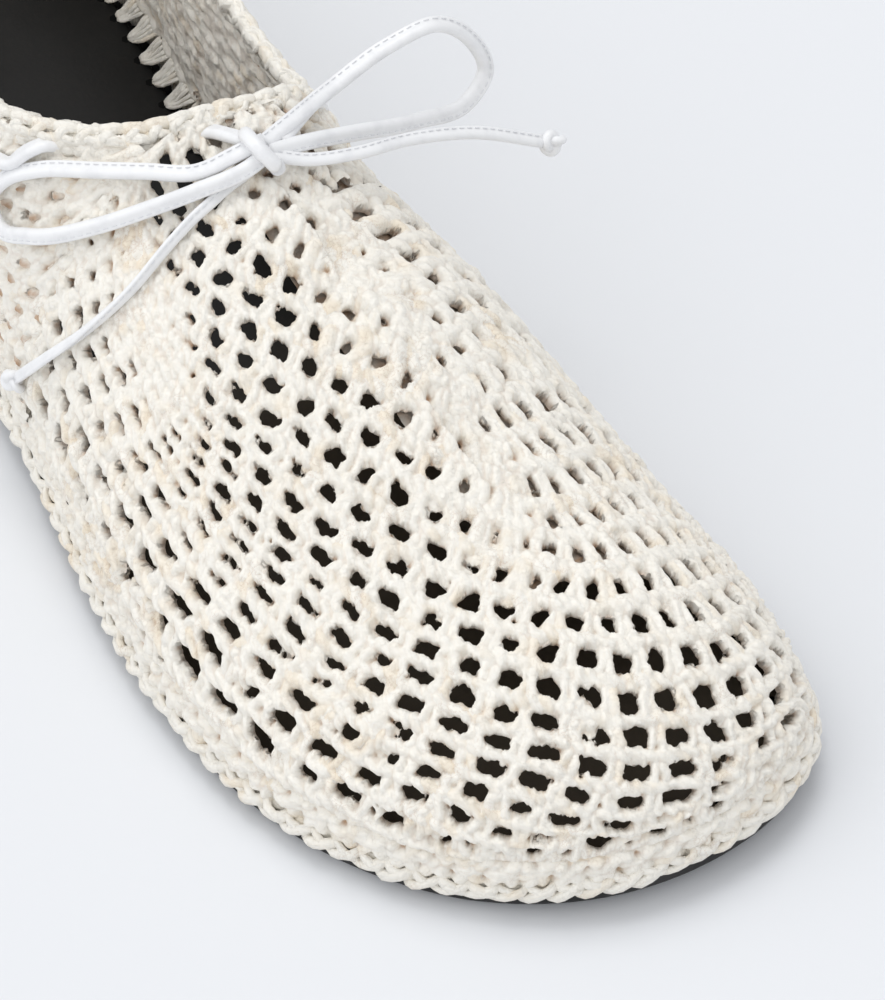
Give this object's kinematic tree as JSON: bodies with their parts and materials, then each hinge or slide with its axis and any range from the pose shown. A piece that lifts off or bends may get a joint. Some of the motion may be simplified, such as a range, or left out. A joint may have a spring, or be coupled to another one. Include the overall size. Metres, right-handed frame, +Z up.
{
  "type": "crochet flat",
  "caption": "Low slip-on crochet flat: open-work raffia upper on a thin black sole, gathered at the collar by a leather drawstring tied in a bow.",
  "frame": {"origin": "middle of the shoe's footprint, on the floor", "axes": "+Y to the toe, +X to the outer side of the right foot, +Z up"},
  "size_m": [0.1013, 0.2483, 0.0626],
  "materials": {
    "raffia": "matte crocheted raffia",
    "lace": "smooth white leather cord",
    "insole_leather": "black leather",
    "sole_rubber": "matte black"
  },
  "bodies": {
    "root": {"outsole": "sole_rubber", "insole": "insole_leather", "upper": "raffia", "drawstring": "lace", "bow_knot": "lace", "bow_loop_left": "lace", "bow_loop_right": "lace", "bow_end_left": "lace", "bow_end_right": "lace", "end_knot_left": "lace", "end_knot_right": "lace"}
  },
  "joints": []
}
